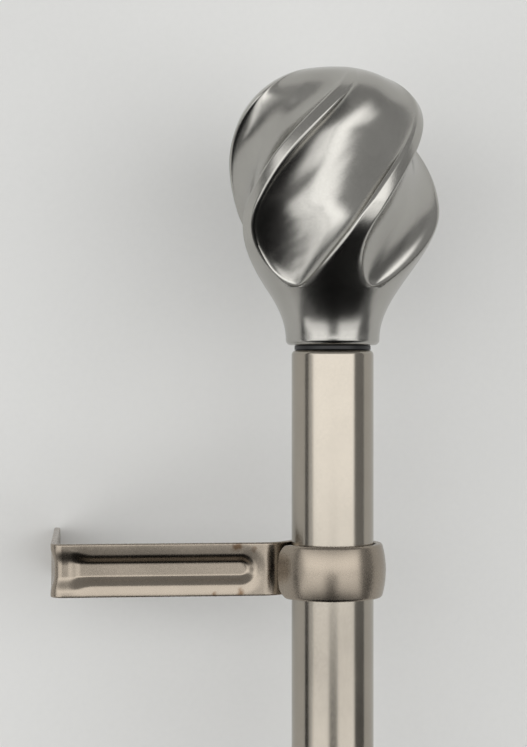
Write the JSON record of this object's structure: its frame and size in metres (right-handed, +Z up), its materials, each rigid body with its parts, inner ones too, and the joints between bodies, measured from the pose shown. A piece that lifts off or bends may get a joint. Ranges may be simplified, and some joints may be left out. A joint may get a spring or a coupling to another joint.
{
  "type": "curtain rod with brackets",
  "caption": "Adjustable curtain rod of two telescoping tubes on stamped strap brackets, with a twisted fluted finial screwed into each end.",
  "frame": {"origin": "on the wall face, at the centre of the four wall screw holes", "axes": "+X along the rod to the end of the outer tube, +Y into the wall, +Z up"},
  "size_m": [0.9902, 0.1202, 0.0994],
  "materials": {
    "nickel_tube": "satin nickel plate, fine brushing round the tube",
    "nickel_strap": "satin nickel plate over stamped steel",
    "nickel_casting": "satin nickel coat on a cast resin core",
    "nickel_screw": "satin nickel plate",
    "zinc_steel": "bright zinc plate",
    "brass": "machined",
    "black_plastic": "moulded, fine texture",
    "grey_nylon": "moulded",
    "white_nylon": "moulded"
  },
  "bodies": {
    "right_bracket": {"right_bracket": "nickel_strap"},
    "right_set_screw": {"right_set_screw": "nickel_screw"},
    "outer_tube": {"outer_tube": "nickel_tube", "mouth_bush": "grey_nylon", "right_end_plug": "black_plastic", "right_nut": "zinc_steel"},
    "right_stud": {"right_stud": "zinc_steel"},
    "right_finial": {"right_finial": "nickel_casting", "right_insert": "brass"},
    "inner_tube": {"inner_tube": "nickel_tube", "tube_glide": "white_nylon", "left_end_plug": "black_plastic", "left_nut": "zinc_steel"},
    "left_stud": {"left_stud": "zinc_steel"},
    "left_finial": {"left_finial": "nickel_casting", "left_insert": "brass"},
    "left_bracket": {"left_bracket": "nickel_strap"},
    "left_set_screw": {"left_set_screw": "nickel_screw"}
  },
  "joints": [
    {"name": "rod_slide", "type": "slide", "parent": "right_bracket", "child": "outer_tube", "axis": [1, 0, 0], "range_m": [-0.04, 0.04]},
    {"name": "telescope", "type": "slide", "parent": "outer_tube", "child": "inner_tube", "axis": [-1, 0, 0], "range_m": [-0.03, 0.4]},
    {"name": "left_bracket_slide", "type": "slide", "parent": "inner_tube", "child": "left_bracket", "axis": [1, 0, 0], "range_m": [-0.04, 0.04]},
    {"name": "right_finial_turn", "type": "hinge", "parent": "outer_tube", "child": "right_stud", "pos_m": [0.408, -0.087, 0.03843], "axis": [1, 0, 0], "range_deg": [0, 3600]},
    {"name": "right_finial_travel", "type": "slide", "parent": "right_stud", "child": "right_finial", "axis": [1, 0, 0], "range_m": [-0.00005, 0.01005]},
    {"name": "left_finial_turn", "type": "hinge", "parent": "inner_tube", "child": "left_stud", "pos_m": [-0.408, -0.087, 0.03843], "axis": [-1, 0, 0], "range_deg": [0, 3600]},
    {"name": "left_finial_travel", "type": "slide", "parent": "left_stud", "child": "left_finial", "axis": [-1, 0, 0], "range_m": [-0.00005, 0.01005]},
    {"name": "right_set_screw_travel", "type": "slide", "parent": "right_bracket", "child": "right_set_screw", "axis": [0, 0, -1], "range_m": [0, 0.0022]},
    {"name": "left_set_screw_travel", "type": "slide", "parent": "left_bracket", "child": "left_set_screw", "axis": [0, 0, -1], "range_m": [0, 0.0022]}
  ],
  "couplings": [
    {"joint": "right_finial_travel", "follows": "right_finial_turn", "m_per_rad": 0.00015915},
    {"joint": "left_finial_travel", "follows": "left_finial_turn", "m_per_rad": 0.00015915}
  ]
}
